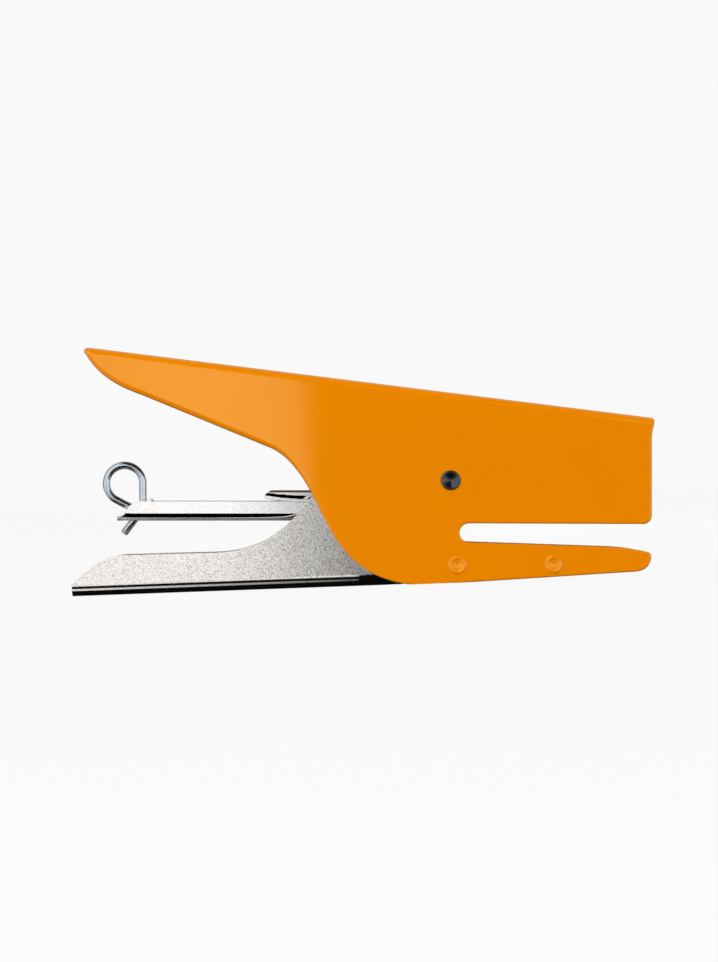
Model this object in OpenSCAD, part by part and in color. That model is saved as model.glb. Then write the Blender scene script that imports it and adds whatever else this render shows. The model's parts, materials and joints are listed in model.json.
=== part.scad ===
// Plier stapler: a folded steel body with a lower jaw, a nickel-plated squeeze lever that works
// as a hammer, and a magazine that swings on the same pivot and is loaded from the rear.
// Everything is drawn about the pivot: +X towards the mouth, +Y into the page, +Z up. The
// module place() then stands the stapler on the flat bottom of its lever. Millimetres.

/* [Body] */
// Outer width of the folded body
body_w = 19; // [18.6:0.2:20]
// Sheet thickness of the body
body_t = 1; // [0.8:0.1:1.1]
// Outer radius of the body's top fold
body_fold = 1.9; // [1.6:0.1:2.6]
// Height of the top fold above the pivot axis
top_height = 24.1; // [23:0.1:25]
// Slope of the top, falling towards the nose, in degrees
top_slope = 7.1; // [6.8:0.02:7.2]

/* [Mouth] */
// Height of the middle of the mouth slot, measured from the pivot
slot_z = -14.4; // [-14.6:0.1:-14.2]
// Radius of the slot's closed end
slot_r = 2.7; // [2.5:0.1:2.8]
// Distance from the pivot to the centre of the slot's closed end
slot_x = 5.1; // [4.6:0.1:6]

/* [Pivot] */
// Radius of the pivot pin
pin_r = 2.2; // [2:0.1:2.3]
// Radius of the pin's heads
pin_head_r = 2.7; // [2.6:0.1:3.2]
// Height of each pin head
pin_head_h = 0.6; // [0.4:0.1:0.8]
// Radial play of the lever, the magazine and the bush on the pin
play = 0.05; // [0.03:0.01:0.08]

/* [Lever] */
// Outer width of the squeeze lever
lever_w = 16.4; // [16:0.1:16.4]
// Sheet thickness of the lever
lever_t = 1; // [0.8:0.1:1]
// Outer radius of the lever's bottom fold
lever_fold = 3.2; // [2:0.1:3.4]
// Reach of the lever's front end from the pivot
lever_reach = 53.5; // [53:0.1:53.8]
// Slope of the lever's flat bottom, rising towards the nose, in degrees
lever_slope = 2.09; // [2.09:0.01:2.09]

/* [Magazine] */
// Outer width of the magazine channel
mag_w = 12.6; // [12.4:0.1:12.6]
// Sheet thickness of the channel
mag_t = 0.7; // [0.6:0.1:0.7]
// Outer radius of the channel's bottom folds
mag_fold = 2.2; // [1.3:0.1:2.2]
// Height of the channel's open edges, measured from the pivot
mag_top = -5.3; // [-5.4:0.1:-5.2]
// Height of the channel's bottom, measured from the pivot
mag_bottom = -11.2; // [-11.3:0.1:-11.1]
// Sheet thickness of the saddle, the nose plate and its tabs
saddle_t = 0.6; // [0.5:0.1:0.6]
// Length of the staple strip
strip_l = 19.8; // [10:0.2:20]

/* [Loading rod] */
// Radius of the rod's wire
rod_r = 1.05; // [0.9:0.05:1.05]
// Height of the rod, measured from the pivot
rod_z = -8.6; // [-8.6:0.1:-8.5]
// Radius of the finger ring, to the middle of the wire
ring_r = 5.05; // [4.95:0.05:5.1]

/* [Springs] */
// Wire radius of the return spring
return_wire_r = 0.45; // [0.35:0.05:0.5]
// Turns of the return spring
return_turns = 5; // [3:1:5]
// Wire radius of the pusher spring
pusher_wire_r = 0.25; // [0.2:0.05:0.25]
// Turns of the pusher spring
pusher_turns = 30; // [20:1:34]

/* [Hidden] */

$fn = 96;
far = 300;                                  // larger than the stapler, for cutting shapes

// Colours
paint = "#e68600";
nickel = "#c9c4ba";
black = "#1b1d20";
zinc = "#9fb0bd";
steel = "#8f9296";

// Body: inner width, the tail, the nose, and the lip under the nose
body_in = body_w - 2 * body_t;
tail_x = -100.8;
nose_x = 56.1;
face_x = 55.4;
lip_z = 13.3;

// Lever: inner width and the height of its flat bottom below the pivot
lever_in = lever_w - 2 * lever_t;
lever_tip_x = -104.3;
lever_tip_z = -32.1;
stand = -lever_tip_z * cos(lever_slope) + lever_tip_x * sin(lever_slope);

// Magazine: widths, and the arc on which the driver blade runs about the pivot
mag_in = mag_w - 2 * mag_t;
saddle_w = mag_w + 2 * saddle_t;
blade_r = 51.2;
blade_t = 0.8;
blade_w = 10.8;
nose_r = 51.4;
nose_t = 0.8;
web_end_x = 48.9;
nib_x = -83.2;
nib_h = 0.6;
strip_end_x = 48.6;
strip_z = -5.9;
staple_t = 0.5;

// Jaw and anvil
jaw_rivet_r = 1.5;
jaw_rivet_at = [[1.9, -23.4], [28.4, -23.2]];
anvil_t = 1.2;
anvil_x = 43.8;
anvil_z = -20.2;
die_x = 50;

// Hammer: the block between the lever's arms
hammer_z = 2;
hammer_top = 12;
hammer_x = 38;
rivet_r = 1.2;
hammer_rivet_at = [[42, 8.5], [46.5, 5]];
driver_rivet_at = [[-2.8, 8], [2.8, 8]];
driver_rivet_x = 44;

// Saddle: rail heights, and where its front web starts and ends
rail_z = -2.6;
rail_end_x = -51.6;
rail_hem = -6;
rail_fold_from = -4.4;
rail_fold_to = -5.4;
rail_front_x = -9;
flange_in = 8.4;
cover_x = 16;
cover_end_x = 43.5;
small_rivet_r = 0.9;
saddle_rivet_at = [[20, -6.7], [38, -6.7]];
nose_rivet_at = [[48.4, -8.2]];

// Loading rod: its front end, the bends at its rear, and the tail through the magazine's web
rod_front_x = 46;
bend_r = 2.5;
ring_at = [-89.97, -0.85];
ring_sweep = 242.5;
hook_r = 2;
hook_sweep = 96.2;
hook_run = 5.3;
tail_run = 4.9;
cap_r = 1.6;
cap_w = 7.6;
cap_x = 44.8;
collar_x = -80.2;
collar_r = 1.8;
collar_l = 1.2;
pusher_x = 17;
pusher_l = 11.5;
pusher_w = 10.4;
pusher_top = -7;
pusher_bottom = -9.9;
pusher_coil_r = 1.5;

// Return spring: coil on the bush, one leg under the hammer block, one under the body's top
return_coil_r = 3.55;
return_coil_w = 5.8;
return_front_end = [41, 1.4];
return_rear_end = [-26, 25.4];
bush_r = 3;

// Hammer spring: between the hammer block and the saddle's web
hammer_spring_x = 40.5;
hammer_spring_r = 1.9;
hammer_wire_r = 0.35;
hammer_spring_turns = 3;

// The bounding box's ends in X once the stapler stands on its lever
low_x = lever_tip_x * cos(lever_slope) + lever_tip_z * sin(lever_slope);
high_x = nose_x * cos(lever_slope) + (top_height - nose_x * tan(top_slope)) * sin(lever_slope);

// ---------- helpers ----------

// Points of a quadratic curve from a to c, pulled towards b
function curve(a, b, c, steps = 12) =
    [for (i = [0 : steps]) let (t = i / steps) (1 - t) * (1 - t) * a + 2 * t * (1 - t) * b + t * t * c];

// Points of an arc about c
function arc(c, r, from, to, steps = 12) =
    [for (i = [0 : steps]) let (a = from + (to - from) * i / steps) c + r * [cos(a), sin(a)]];

function unit(v) = v / norm(v);

// One ring of points around p, square to the direction d, with ref never parallel to d
function ring(p, d, ref, r, sides) =
    let (u = unit(cross(d, ref)), v = cross(u, d))
    [for (k = [0 : sides - 1]) p + r * (cos(360 * k / sides) * u + sin(360 * k / sides) * v)];

// A wire of radius r swept along path
module wire(path, r, ref, sides = 8) {
    last = len(path) - 1;
    points = [for (i = [0 : last])
        each ring(path[i], unit(path[min(i + 1, last)] - path[max(i - 1, 0)]), ref, r, sides)];
    walls = [for (i = [0 : last - 1], k = [0 : sides - 1])
        let (m = (k + 1) % sides, a = i * sides, b = a + sides)
        each [[a + k, a + m, b + m], [a + k, b + m, b + k]]];
    start = [for (k = [0 : sides - 1]) sides - 1 - k];
    end = [for (k = [0 : sides - 1]) last * sides + k];
    polyhedron(points, concat(walls, [start, end]));
}

// Stands the finished piece on the flat bottom of the lever, centred in X
module place() {
    translate([-(low_x + high_x) / 2, 0, stand])
        rotate([0, lever_slope, 0])
            children();
}

// A side view [x, z] made into a plate that spans y0 to y1
module side(y0, y1) {
    translate([0, y1, 0])
        rotate([90, 0, 0])
            linear_extrude(y1 - y0)
                children();
}

// The same plate on both sides of the middle
module both(y0, y1) {
    side(y0, y1) children();
    side(-y1, -y0) children();
}

// A round bar along Y at the side-view point at
module cross_bar(at, r, y0, y1) {
    translate([at[0], y0, at[1]])
        rotate([-90, 0, 0])
            cylinder(h = y1 - y0, r = r);
}

// A ring sector about the pivot, seen from the side
module sector(r_in, r_out, from, to) {
    difference() {
        circle(r_out, $fn = 240);
        circle(r_in, $fn = 240);
        polygon([[0, 0], far * [cos(to), sin(to)], far * [cos(to), 1], far * [-1, 1],
            far * [-1, -1], far * [cos(from), -1], far * [cos(from), sin(from)]]);
    }
}

// A beam under the body's top line, with its two top edges rounded
module body_beam(w, r) {
    side_h = 80;
    rotate([0, top_slope, 0])
        translate([-far / 2, 0, top_height * cos(top_slope)])
            rotate([90, 0, 90])
                linear_extrude(far)
                    union() {
                        translate([-w / 2, -side_h])
                            square([w, side_h - r]);
                        translate([r - w / 2, -r - 1])
                            square([w - 2 * r, r + 1]);
                        for (s = [-1, 1])
                            translate([s * (w / 2 - r), -r])
                                circle(r);
                    }
}

// ---------- outlines, seen from the side ----------

function top_z(x) = top_height - x * tan(top_slope);

module body_outline() {
    jaw_tip = [55.2, -21.4];
    polygon(concat(
        [[tail_x, top_z(tail_x)]],
        curve([tail_x, 35.3], [-96.2, 28.2], [-85.4, 23.6], 16),
        curve([-49.7, 8.9], [-43.4, 6.3], [-38, -4.2]),
        curve([-33.6, -12.8], [-25.3, -28.9], [-7.6, -28.9], 16),
        curve([50.7, -25.2], [54.9, -24.9], jaw_tip, 8),
        curve(jaw_tip, [55.2, -20.2], [53.6, -19.9], 6),
        curve([52.1, -19.6], [48, -18.7], [43.8, -18.5], 4),
        arc([slot_x, slot_z], slot_r, 270, 90, 20),
        arc([face_x - 2.4, -9.7], 2.4, -90, 0),
        [[face_x, lip_z - 0.5]],
        [[nose_x, lip_z + 1]],
        [[nose_x, top_z(nose_x)]]));
}

module lever_outline() {
    polygon(concat(
        [[lever_tip_x, lever_tip_z]],
        curve([lever_tip_x, -29], [-96.5, -20.9], [-90, -20.6]),
        curve([-64, -19.9], [-50.3, -19.3], [-41.4, -8.4]),
        curve([-36.4, -2.3], [-30, 6.5], [-16, 9], 8),
        curve([0, 10.5], [12, 12.5], [30, 12.5], 6),
        arc([0, 0], lever_reach, 13.4, -5.4, 8),
        curve([6, -8.2], [-2, -8.6], [-4, -13], 6),
        curve([-8.6, -24], [-10.4, -28.7], [-14, -28.8], 6)));
}

module channel_outline() {
    polygon(concat(
        [[-92, mag_bottom], [nose_r, mag_bottom], [nose_r, mag_top], [nib_x + 0.8, mag_top],
            [nib_x + 0.5, mag_top + nib_h], [nib_x, mag_top + nib_h], [nib_x - 0.4, mag_top]],
        curve([-85, -5.6], [-88, -6.3], [-89, -7.6], 6),
        curve([-89.3, -8.6], [-89.8, -10.1], [-92, -10.4], 6)));
}

module saddle_outline() {
    polygon(concat(
        curve([rail_end_x, -5.1], [rail_end_x, -2.7], [-49.4, rail_z], 6),
        [[rail_front_x, rail_z]],
        curve([-6.2, -1.6], [-5.6, 0], [-4.9, 1.8], 4),
        arc([0, 0], 5.2, 150, 20, 10),
        curve([5.6, -1], [7, -3.8], [cover_x - 2, mag_top + saddle_t], 4),
        [[cover_end_x, mag_top + saddle_t], [cover_end_x, -8]],
        curve([10, -8], [6, -8], [4, rail_hem], 4),
        [[-50.6, rail_hem]]));
}

module anvil_outline() {
    polygon([[-4, -21], [-1, -18.8], [6, -18.6], [anvil_x, anvil_z], [53.4, -21], [54, -22.4],
        [51.4, -24.4], [-4, -27.9]]);
}

// ---------- body ----------

module body_shell() {
    color(paint)
        place()
            difference() {
                intersection() {
                    side(-body_w / 2, body_w / 2) body_outline();
                    body_beam(body_w, body_fold);
                }
                intersection() {
                    translate([0, 0, -body_t / cos(top_slope)])
                        body_beam(body_in, body_fold - body_t);
                    side(-body_w, body_w)
                        polygon([[tail_x + body_t, far], [tail_x + body_t, -far], [far, -far],
                            [far, lip_z], [nose_x - body_t, lip_z], [nose_x - body_t, far]]);
                }
                cross_bar([0, 0], pin_r, -body_w, body_w);
                for (at = jaw_rivet_at)
                    cross_bar(at, jaw_rivet_r, -body_w, body_w);
                belly_cut();
            }
}

// Levels the body's belly with the flat bottom of the lever
module belly_cut() {
    rotate([0, -lever_slope, 0])
        translate([-far / 2, -far / 2, -stand - far])
            cube([far, far, far]);
}

module anvil_channel() {
    leg_w = 1.2;
    color(steel)
        place()
            difference() {
                side(-body_in / 2, body_in / 2) anvil_outline();
                side(-body_in / 2 + leg_w, body_in / 2 - leg_w)
                    translate([0, -anvil_t]) anvil_outline();
                for (at = jaw_rivet_at)
                    cross_bar(at, jaw_rivet_r, -body_w, body_w);
            }
}

// Hardened plate with the two pockets that curl the staple's legs inwards
module anvil_plate() {
    plate_w = 14;
    plate_l = 9;
    pocket_r = 2.6;
    pocket_w = 1.2;
    slope = atan((anvil_z + 21) / (53.4 - anvil_x));
    color(nickel)
        place()
            translate([anvil_x, 0, anvil_z])
                rotate([0, slope, 0])
                    difference() {
                        translate([0.2, -plate_w / 2, 0])
                            cube([plate_l, plate_w, anvil_t]);
                        for (s = [-1, 1])
                            translate([die_x - anvil_x - pocket_w / 2, s * 3, anvil_t + 1.9])
                                rotate([0, 90, 0])
                                    cylinder(h = pocket_w, r = pocket_r);
                    }
}

// Two tube rivets, peened to a raised ring with a dimple in the middle
module jaw_rivets() {
    head_r = 2.55;
    head_h = 0.35;
    color(paint)
        place()
            for (at = jaw_rivet_at) {
                cross_bar(at, jaw_rivet_r, -body_w / 2, body_w / 2);
                for (s = [-1, 1])
                    translate([at[0], s * body_w / 2, at[1]])
                        rotate([-s * 90, 0, 0])
                            rotate_extrude()
                                polygon([[0, 0], [head_r, 0], [head_r, head_h * 0.4],
                                    [head_r - 0.3, head_h], [1.5, head_h], [1, head_h * 0.5],
                                    [0, head_h * 0.3]]);
            }
}

// ---------- pivot ----------

module pivot_pin() {
    cone_r = 2;
    cone_h = 0.9;
    color(black)
        place()
            difference() {
                union() {
                    cross_bar([0, 0], pin_r, -body_w / 2, body_w / 2);
                    for (s = [-1, 1])
                        translate([0, s * body_w / 2, 0])
                            rotate([-s * 90, 0, 0])
                                cylinder(h = pin_head_h, r = pin_head_r);
                }
                for (s = [-1, 1])
                    translate([0, s * (body_w / 2 + pin_head_h), 0])
                        rotate([s * 90, 0, 0])
                            cylinder(h = cone_h, r1 = cone_r, r2 = 0.3);
            }
}

module pivot_bush() {
    half = mag_w / 2 - 0.1;
    color(steel)
        place()
            difference() {
                cross_bar([0, 0], bush_r, -half, half);
                cross_bar([0, 0], pin_r + play, -body_w, body_w);
            }
}

// Torsion spring wound clockwise from the front leg to the rear leg
module return_spring() {
    front_reach = norm(return_front_end);
    rear_reach = norm(return_rear_end);
    front_angle = atan2(return_front_end[1], return_front_end[0]) - acos(return_coil_r / front_reach);
    rear_angle = atan2(return_rear_end[1], return_rear_end[0]) + acos(return_coil_r / rear_reach);
    sweep = front_angle - (rear_angle - 360) + 360 * return_turns;
    steps = 16 * return_turns;
    half = return_coil_w / 2;
    coil = [for (i = [0 : steps]) let (a = front_angle - sweep * i / steps)
        [return_coil_r * cos(a), -half + return_coil_w * i / steps, return_coil_r * sin(a)]];
    path = concat(
        [[return_front_end[0], -half, return_front_end[1]]],
        coil,
        [[return_rear_end[0], half, return_rear_end[1]]]);
    color(black)
        place()
            wire(path, return_wire_r, [0, 1, 0], 6);
}

// ---------- lever ----------

// Inside of the lever's channel, with its bottom fold
module lever_beam(w, r) {
    rotate([0, -lever_slope, 0])
        translate([-far / 2, 0, -stand])
            rotate([90, 0, 90])
                linear_extrude(far)
                    union() {
                        translate([-w / 2, r])
                            square([w, 80]);
                        translate([-w / 2 + r, 0])
                            square([w - 2 * r, r + 1]);
                        for (s = [-1, 1])
                            translate([s * (w / 2 - r), r])
                                circle(r);
                    }
}

module squeeze_lever() {
    color(nickel)
        place()
            difference() {
                intersection() {
                    side(-lever_w / 2, lever_w / 2) lever_outline();
                    lever_beam(lever_w, lever_fold);
                }
                translate([0, 0, lever_t])
                    lever_beam(lever_in, lever_fold - lever_t);
                cross_bar([0, 0], pin_r + play, -body_w, body_w);
                for (at = hammer_rivet_at)
                    cross_bar(at, rivet_r, -body_w, body_w);
            }
}

module hammer_block() {
    back_r = blade_r - blade_t;
    color(steel)
        place()
            difference() {
                side(-lever_in / 2, lever_in / 2)
                    intersection() {
                        circle(back_r, $fn = 240);
                        translate([hammer_x, hammer_z])
                            square([20, hammer_top - hammer_z]);
                    }
                for (at = hammer_rivet_at)
                    cross_bar(at, rivet_r, -body_w, body_w);
                for (at = driver_rivet_at)
                    translate([driver_rivet_x, at[0], at[1]])
                        rotate([0, 90, 0])
                            cylinder(h = 20, r = small_rivet_r);
            }
}

module hammer_rivets() {
    half = lever_w / 2 + 0.1;
    color(steel)
        place()
            for (at = hammer_rivet_at)
                cross_bar(at, rivet_r, -half, half);
}

module driver_blade() {
    color(steel)
        place()
            difference() {
                side(-blade_w / 2, blade_w / 2)
                    sector(blade_r - blade_t, blade_r, -6.1, 12.6);
                for (at = driver_rivet_at)
                    translate([hammer_x, at[0], at[1]])
                        rotate([0, 90, 0])
                            cylinder(h = 20, r = small_rivet_r);
            }
}

module driver_rivets() {
    color(steel)
        place()
            for (at = driver_rivet_at)
                translate([driver_rivet_x, at[0], at[1]])
                    rotate([0, 90, 0]) {
                        cylinder(h = blade_r - driver_rivet_x, r = small_rivet_r);
                        translate([0, 0, blade_r - driver_rivet_x - 0.5])
                            cylinder(h = 0.8, r1 = 1.5, r2 = 1.1);
                    }
}

// Compression spring that presses the magazine down ahead of the driver
module hammer_spring() {
    low = mag_top + saddle_t + hammer_wire_r;
    high = hammer_z - hammer_wire_r;
    steps = 16 * hammer_spring_turns;
    path = [for (i = [0 : steps]) let (a = 360 * hammer_spring_turns * i / steps)
        [hammer_spring_x + hammer_spring_r * cos(a), hammer_spring_r * sin(a),
            low + (high - low) * i / steps]];
    color(black)
        place()
            wire(path, hammer_wire_r, [0, 0, 1], 6);
}

// ---------- magazine ----------

// A round-cornered trough of width w along X, with its bottom at z
module trough(w, r, z) {
    translate([-far / 2, 0, z])
        rotate([90, 0, 90])
            linear_extrude(far)
                union() {
                    translate([-w / 2, r])
                        square([w, 20]);
                    translate([-w / 2 + r, 0])
                        square([w - 2 * r, r + 1]);
                    for (s = [-1, 1])
                        translate([s * (w / 2 - r), r])
                            circle(r);
                }
}

module magazine_channel() {
    hole_w = 2.6;
    hole_from = -89.6;
    hole_to = -86.2;
    color(nickel)
        place()
            difference() {
                intersection() {
                    side(-mag_w / 2, mag_w / 2) channel_outline();
                    trough(mag_w, mag_fold, mag_bottom);
                    side(-mag_w, mag_w)
                        union() {
                            circle(nose_r, $fn = 240);
                            translate([-far, -far / 2])
                                square([far, far]);
                        }
                }
                trough(mag_in, mag_fold - mag_t, mag_bottom + mag_t);
                translate([web_end_x, -mag_in / 2, mag_bottom - 1])
                    cube([10, mag_in, 4]);
                for (x = [hole_from, hole_to])
                    translate([x, 0, mag_bottom - 1])
                        cylinder(h = 3, r = hole_w / 2);
                translate([hole_from, -hole_w / 2, mag_bottom - 1])
                    cube([hole_to - hole_from, hole_w, 3]);
                for (at = concat(saddle_rivet_at, nose_rivet_at))
                    cross_bar(at, small_rivet_r, -body_w, body_w);
            }
}

// Section of a rail on the +Y side: rounded on top, and drawn in below the middle
module rail_section() {
    top_r = 0.6;
    out = saddle_w / 2;
    polygon(concat(
        [[0, rail_hem - 1], [0, rail_z]],
        arc([out - top_r, rail_z - top_r], top_r, 90, 0, 6),
        curve([out, rail_fold_from], [out, rail_fold_to + 0.3], [out - 0.4, rail_fold_to], 6),
        [[out - 0.4, rail_hem - 1]]));
}

// Rolls the edges of the rails, and rounds their rear ends when seen from above
module rolled_rails() {
    end_r = 2.4;
    intersection() {
        children();
        union() {
            translate([-far, 0, 0])
                rotate([90, 0, 90])
                    linear_extrude(far + rail_front_x)
                        for (s = [0, 1])
                            mirror([s, 0])
                                rail_section();
            translate([rail_front_x, -far / 2, -far / 2])
                cube(far);
        }
        translate([rail_end_x, 0, -far / 2])
            linear_extrude(far)
                hull() {
                    for (s = [-1, 1])
                        translate([end_r, s * (saddle_w / 2 - end_r)])
                            circle(end_r);
                    translate([far / 2, -saddle_w / 2])
                        square([1, saddle_w]);
                }
    }
}

// Cover over the magazine: a web in front, two flanged rails behind, and ears for the pivot
module magazine_saddle() {
    color(nickel)
        place()
            difference() {
                union() {
                    rolled_rails() {
                        both(mag_w / 2, saddle_w / 2) saddle_outline();
                        both(flange_in / 2, mag_w / 2)
                            polygon([[-51, rail_z - saddle_t], [-50.4, rail_z],
                                [rail_front_x, rail_z], [rail_front_x, rail_z - saddle_t]]);
                    }
                    side(-mag_w / 2, mag_w / 2)
                        translate([cover_x, mag_top])
                            square([cover_end_x - cover_x, saddle_t]);
                }
                cross_bar([0, 0], pin_r + play, -body_w, body_w);
                for (at = saddle_rivet_at)
                    cross_bar(at, small_rivet_r, -body_w, body_w);
            }
}

module saddle_rivets() {
    color(steel)
        place()
            for (at = saddle_rivet_at, s = [-1, 1])
                cross_bar(at, small_rivet_r, s > 0 ? mag_in / 2 : -saddle_w / 2,
                    s > 0 ? saddle_w / 2 : -mag_in / 2);
}

// Closes the magazine's front and guides the driver blade
module nose_plate() {
    color(nickel)
        place()
            difference() {
                union() {
                    side(-saddle_w / 2, saddle_w / 2)
                        sector(nose_r, nose_r + nose_t, -12.4, -4);
                    both(mag_w / 2, saddle_w / 2)
                        intersection() {
                            circle(nose_r + 0.1, $fn = 240);
                            translate([45.5, -9.6])
                                square([8, 4]);
                        }
                }
                for (at = nose_rivet_at)
                    cross_bar(at, small_rivet_r, -body_w, body_w);
            }
}

module nose_rivets() {
    color(steel)
        place()
            for (at = nose_rivet_at, s = [-1, 1])
                cross_bar(at, small_rivet_r, s > 0 ? mag_in / 2 : -saddle_w / 2,
                    s > 0 ? saddle_w / 2 : -mag_in / 2);
}

// A short strip of staples with its crowns up
module staple_strip() {
    strip_w = 10.8;
    leg_z = -9.7;
    color(steel)
        place()
            translate([strip_end_x - strip_l, 0, 0])
                difference() {
                    translate([0, -strip_w / 2, leg_z])
                        cube([strip_l, strip_w, strip_z - leg_z]);
                    translate([-1, -strip_w / 2 + staple_t, leg_z - 1])
                        cube([strip_l + 2, strip_w - 2 * staple_t, strip_z - staple_t - leg_z + 1]);
                }
}

// ---------- loading rod ----------

// The wire starts at its front end, turns up into the ring, and hooks down through the web
module loading_rod() {
    leg_x = ring_at[0] + ring_r;
    exit_dir = [-sin(ring_sweep), cos(ring_sweep)];
    exit_at = ring_at + ring_r * [cos(ring_sweep), sin(ring_sweep)];
    hook_from = exit_at + hook_run * exit_dir;
    hook_at = hook_from + hook_r * [exit_dir[1], -exit_dir[0]];
    hook_start = ring_sweep - 180;
    hook_end = hook_start - hook_sweep;
    tail_from = hook_at + hook_r * [cos(hook_end), sin(hook_end)];
    path = concat(
        [[rod_front_x, rod_z]],
        arc([leg_x + bend_r, rod_z + bend_r], bend_r, 270, 180, 6),
        arc(ring_at, ring_r, 0, ring_sweep, 24),
        arc(hook_at, hook_r, hook_start, hook_end, 8),
        [tail_from + tail_run * [sin(hook_end), -cos(hook_end)]]);
    color(zinc)
        place()
            wire([for (p = path) [p[0], 0, p[1]]], rod_r, [0, 1, 0], 12);
}

// The space the rod takes in the pieces fixed to it
module rod_hole() {
    translate([collar_x - 10, 0, rod_z])
        rotate([0, 90, 0])
            cylinder(h = far, r = rod_r);
}

// A small barrel across the rod's front end. It keeps the pusher on, and the rod is lifted about it
module rod_cap() {
    color(zinc)
        place()
            difference() {
                cross_bar([cap_x, rod_z], cap_r, -cap_w / 2, cap_w / 2);
                rod_hole();
            }
}

module spring_collar() {
    color(zinc)
        place()
            difference() {
                translate([collar_x, 0, rod_z])
                    rotate([0, 90, 0])
                        cylinder(h = collar_l, r = collar_r);
                rod_hole();
            }
}

module pusher() {
    color(nickel)
        place()
            difference() {
                translate([pusher_x, -pusher_w / 2, pusher_bottom])
                    cube([pusher_l, pusher_w, pusher_top - pusher_bottom]);
                translate([pusher_x - 1, 0, rod_z])
                    rotate([0, 90, 0])
                        cylinder(h = pusher_l + 2, r = rod_r + play);
                for (s = [-1, 1])
                    translate([pusher_x + 2, s * pusher_w / 2, pusher_bottom - 1])
                        cylinder(h = 6, r = 1.2);
            }
}

module pusher_spring() {
    from = collar_x + collar_l + pusher_wire_r;
    to = pusher_x - pusher_wire_r;
    steps = 10 * pusher_turns;
    path = [for (i = [0 : steps]) let (a = 360 * pusher_turns * i / steps)
        [from + (to - from) * i / steps, pusher_coil_r * cos(a), rod_z + pusher_coil_r * sin(a)]];
    color(steel)
        place()
            wire(path, pusher_wire_r, [1, 0, 0], 5);
}

body_shell();
anvil_channel();
anvil_plate();
jaw_rivets();
pivot_pin();
pivot_bush();
return_spring();
squeeze_lever();
hammer_block();
hammer_rivets();
driver_blade();
driver_rivets();
hammer_spring();
magazine_channel();
magazine_saddle();
saddle_rivets();
nose_plate();
nose_rivets();
staple_strip();
loading_rod();
rod_cap();
spring_collar();
pusher();
pusher_spring();
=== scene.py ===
"""Looks of the plier stapler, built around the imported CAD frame.

Shapes are drawn in the stapler's own side view: millimetres from the pivot axis, x towards the
mouth, z up, y across. TO_ROW turns and moves them into the row frame, where the flat bottom of the
lever is level.
"""
import json
import math

import bmesh
import bpy
from mathutils import Matrix, Vector
from mathutils.geometry import delaunay_2d_cdt


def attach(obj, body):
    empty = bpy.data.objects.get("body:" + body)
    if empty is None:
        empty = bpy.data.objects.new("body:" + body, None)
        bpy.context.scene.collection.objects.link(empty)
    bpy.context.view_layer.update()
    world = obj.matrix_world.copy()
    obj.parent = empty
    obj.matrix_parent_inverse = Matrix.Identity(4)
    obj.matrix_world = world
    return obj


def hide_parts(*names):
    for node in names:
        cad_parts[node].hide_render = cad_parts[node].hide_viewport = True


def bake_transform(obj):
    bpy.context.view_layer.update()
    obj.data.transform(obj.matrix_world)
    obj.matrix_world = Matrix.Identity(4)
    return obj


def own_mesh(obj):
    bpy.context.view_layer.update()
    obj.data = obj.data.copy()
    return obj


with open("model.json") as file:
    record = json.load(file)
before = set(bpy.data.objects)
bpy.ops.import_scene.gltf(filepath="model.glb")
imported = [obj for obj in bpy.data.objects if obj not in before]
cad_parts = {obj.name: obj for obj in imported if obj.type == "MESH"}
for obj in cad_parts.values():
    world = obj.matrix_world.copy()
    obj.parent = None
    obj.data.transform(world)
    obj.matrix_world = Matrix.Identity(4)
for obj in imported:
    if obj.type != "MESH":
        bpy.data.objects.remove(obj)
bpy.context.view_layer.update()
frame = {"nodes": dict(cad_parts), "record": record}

MM = 0.001
NUDGE = 0.02  # the small step that slopes are measured over
JOINTS = {j["name"]: j for j in frame["record"]["behaviour"]["joints"]}
PIVOT = Vector(JOINTS["lever_squeeze"]["pos_m"])
LEVER_SLOPE = math.radians(2.09)
ROLL = Matrix.Rotation(LEVER_SLOPE, 4, "Y")
TO_ROW = Matrix.Translation(PIVOT) @ ROLL @ Matrix.Scale(MM, 4)

# Body. Each sheet has a half width, a thickness (SHEET) and the outer radius of its fold (FOLD)
TOP_SLOPE = math.radians(7.1)
TOP_HEIGHT = 24.1
BODY_HALF = 9.5
BODY_SHEET = 1.0
BODY_FOLD = 1.9
TAIL_X, NOSE_X, FACE_X = -100.8, 56.1, 55.4
TAIL_Z = 35.3
LIP_Z = 13.3  # foot of the lip under the nose
LIP_PLATE_Z = LIP_Z + 2
MOUTH_AT, MOUTH_R = (5.1, -14.5), 2.6
JAW_RIVETS = [(1.9, -23.4), (28.4, -23.2)]
PIN_R = 2.2  # the pin's hole; its heads are wider

# Lever
LEVER_HALF = 8.2
LEVER_SHEET = 1.0
LEVER_FOLD = 3.4
LEVER_TIP = (-104.3, -32.1)
LEVER_REACH = 53.5  # from the pivot to the front ends of its arms

# Magazine and rod
MAG_HALF = 6.3
MAG_SHEET = 0.7
MAG_FOLD = 2.2
MAG_TOP, MAG_BOTTOM = -5.75, -11.2
NOSE_R = 51.4  # from the pivot to the magazine's front end
WEB_END = 48.9  # front end of the channel's web, behind the blade
SLOT_FROM, SLOT_TO, SLOT_R = -89.6, -86.2, 1.3  # hole for the rod's tail
SADDLE_HALF = 6.9
SADDLE_SHEET = 0.6
SADDLE_RIVETS = [(20, -6.7), (38, -6.7)]
RAIL_Z, RAIL_FRONT = -2.8, -9.0
RAIL_BEND = 0.7
FLANGE_IN = 4.2  # half the gap between the two flanges
HEM_Z = -6.15
HEM_PRESS = (0.95, 1.8)  # heights over the hem between which the press eases off
HEM_DEPTH = 0.45
COVER_Z, COVER_START, COVER_END = -4.7, 16.0, 43.5
ROD_R = 1.05
ROD_Z = -8.6
RING_AT = Vector((-90.19, -0.95))
RING_R = 5.05


def to_row(point):
    """A point of the side view in the row frame."""
    return TO_ROW @ Vector(point)


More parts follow.
